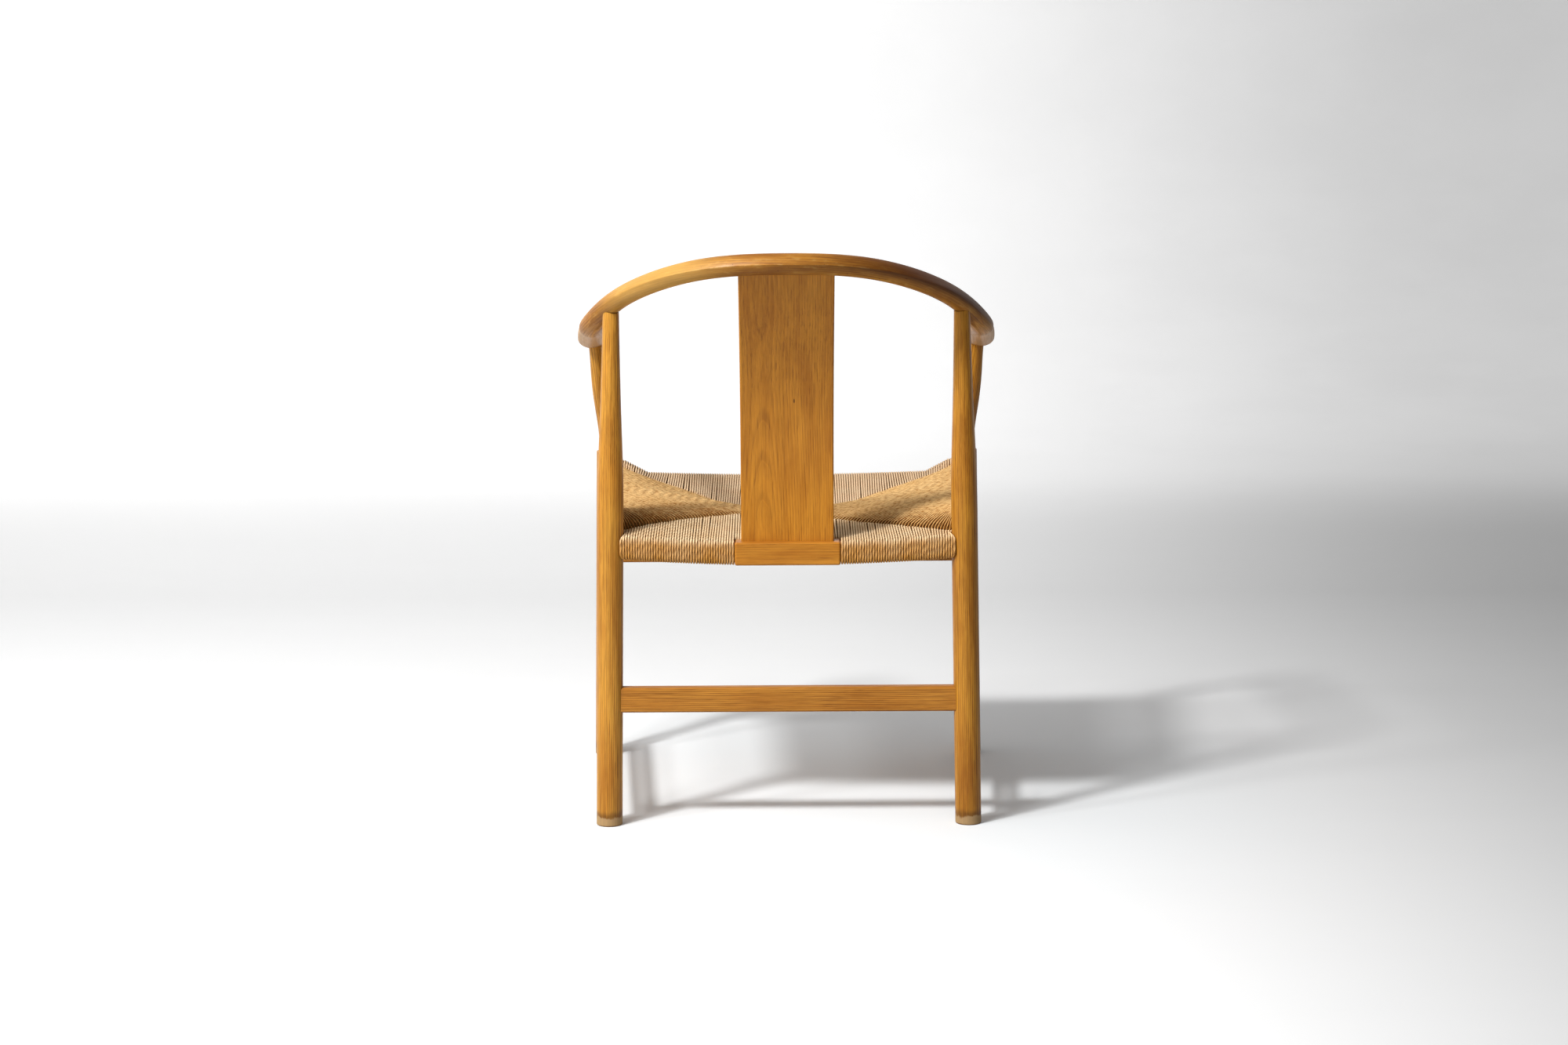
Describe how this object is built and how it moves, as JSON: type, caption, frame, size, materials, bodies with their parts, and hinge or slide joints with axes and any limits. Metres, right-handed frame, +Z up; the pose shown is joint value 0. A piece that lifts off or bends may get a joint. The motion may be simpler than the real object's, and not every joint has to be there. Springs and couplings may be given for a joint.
{
  "type": "horseshoe back armchair",
  "caption": "Ash armchair with a bent horseshoe rail that forms the back and both arms, a curved back splat, round legs, stretchers and a woven paper-cord seat.",
  "frame": {"origin": "on the floor, under the centre of the overall bounding box", "axes": "+Z up, -Y the way the chair faces, +X to the sitter's left; the chair is mirror symmetric about X = 0"},
  "size_m": [0.6193, 0.6169, 0.8],
  "materials": {
    "ash": "honey-coloured ash, clear satin lacquer",
    "ash_rail": "bent honey-coloured ash, clear lacquer polished by hands",
    "ash_board": "flat-sawn honey-coloured ash, clear satin lacquer",
    "paper_cord": "three-ply twisted paper cord, natural tan",
    "card": "plain brown card, hidden between the layers of cord"
  },
  "bodies": {
    "root": {"rear_leg_left": "ash", "rear_leg_right": "ash", "front_leg_left": "ash", "front_leg_right": "ash", "arm_post_left": "ash", "arm_post_right": "ash", "crest_rail": "ash_rail", "arm_rail_left": "ash_rail", "arm_rail_right": "ash_rail", "back_splat": "ash_board", "rear_seat_rail": "ash_board", "front_seat_rail": "ash", "side_seat_rail_left": "ash", "side_seat_rail_right": "ash", "rear_stretcher": "ash", "front_stretcher": "ash", "side_stretcher_left": "ash", "side_stretcher_right": "ash", "seat_cord_rear": "paper_cord", "seat_cord_front": "paper_cord", "seat_cord_side_left": "paper_cord", "seat_cord_side_right": "paper_cord", "seat_stuffing_rear": "card", "seat_stuffing_front": "card", "seat_stuffing_side_left": "card", "seat_stuffing_side_right": "card"}
  },
  "joints": []
}
